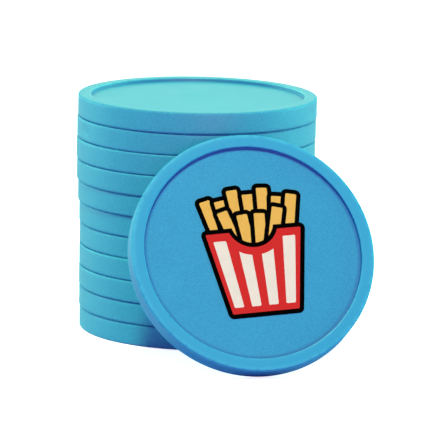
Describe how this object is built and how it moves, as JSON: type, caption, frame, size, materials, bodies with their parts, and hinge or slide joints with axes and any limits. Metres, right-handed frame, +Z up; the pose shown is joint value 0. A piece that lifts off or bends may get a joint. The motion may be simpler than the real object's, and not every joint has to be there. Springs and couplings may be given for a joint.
{
  "type": "stack of round plastic tokens",
  "caption": "Stack of round moulded plastic tokens with raised rims, and a printed token leaning on it; each token lifts off, and the leaning one tips up.",
  "frame": {"origin": "on the table, at the centre of the whole group's footprint", "axes": "+Z up along the stack's axis; -Y towards the side on which the printed token leans; +X to the right seen from there"},
  "size_m": [0.0356, 0.045, 0.0287],
  "materials": {
    "stack_plastic": "satin moulded plastic",
    "face_plastic": "satin moulded plastic",
    "ink_black": "flat printed ink",
    "ink_red": "flat printed ink",
    "ink_white": "flat printed ink",
    "ink_gold": "flat printed ink"
  },
  "bodies": {
    "token_01": {"token_01": "stack_plastic"},
    "token_02": {"token_02": "stack_plastic"},
    "token_03": {"token_03": "stack_plastic"},
    "token_04": {"token_04": "stack_plastic"},
    "token_05": {"token_05": "stack_plastic"},
    "token_06": {"token_06": "stack_plastic"},
    "token_07": {"token_07": "stack_plastic"},
    "token_08": {"token_08": "stack_plastic"},
    "token_09": {"token_09": "stack_plastic"},
    "token_10": {"token_10": "stack_plastic"},
    "token_11": {"token_11": "stack_plastic"},
    "leaning_token": {"leaning_token": "face_plastic", "print_outline": "ink_black", "print_carton": "ink_red", "print_stripes": "ink_white", "print_fries": "ink_gold"}
  },
  "joints": [
    {"name": "lift_02", "type": "slide", "parent": "token_01", "child": "token_02", "axis": [0, 0, 1], "range_m": [0, 0.012]},
    {"name": "lift_03", "type": "slide", "parent": "token_02", "child": "token_03", "axis": [0, 0, 1], "range_m": [0, 0.012]},
    {"name": "lift_04", "type": "slide", "parent": "token_03", "child": "token_04", "axis": [0, 0, 1], "range_m": [0, 0.012]},
    {"name": "lift_05", "type": "slide", "parent": "token_04", "child": "token_05", "axis": [0, 0, 1], "range_m": [0, 0.012]},
    {"name": "lift_06", "type": "slide", "parent": "token_05", "child": "token_06", "axis": [0, 0, 1], "range_m": [0, 0.012]},
    {"name": "lift_07", "type": "slide", "parent": "token_06", "child": "token_07", "axis": [0, 0, 1], "range_m": [0, 0.012]},
    {"name": "lift_08", "type": "slide", "parent": "token_07", "child": "token_08", "axis": [0, 0, 1], "range_m": [0, 0.012]},
    {"name": "lift_09", "type": "slide", "parent": "token_08", "child": "token_09", "axis": [0, 0, 1], "range_m": [0, 0.012]},
    {"name": "lift_10", "type": "slide", "parent": "token_09", "child": "token_10", "axis": [0, 0, 1], "range_m": [0, 0.012]},
    {"name": "lift_11", "type": "slide", "parent": "token_10", "child": "token_11", "axis": [0, 0, 1], "range_m": [0, 0.012]},
    {"name": "tip_up", "type": "hinge", "parent": "token_01", "child": "leaning_token", "pos_m": [0.00469, -0.01979, 0.00025], "axis": [0.9763, 0.2164, 0], "range_deg": [0, 29]}
  ]
}
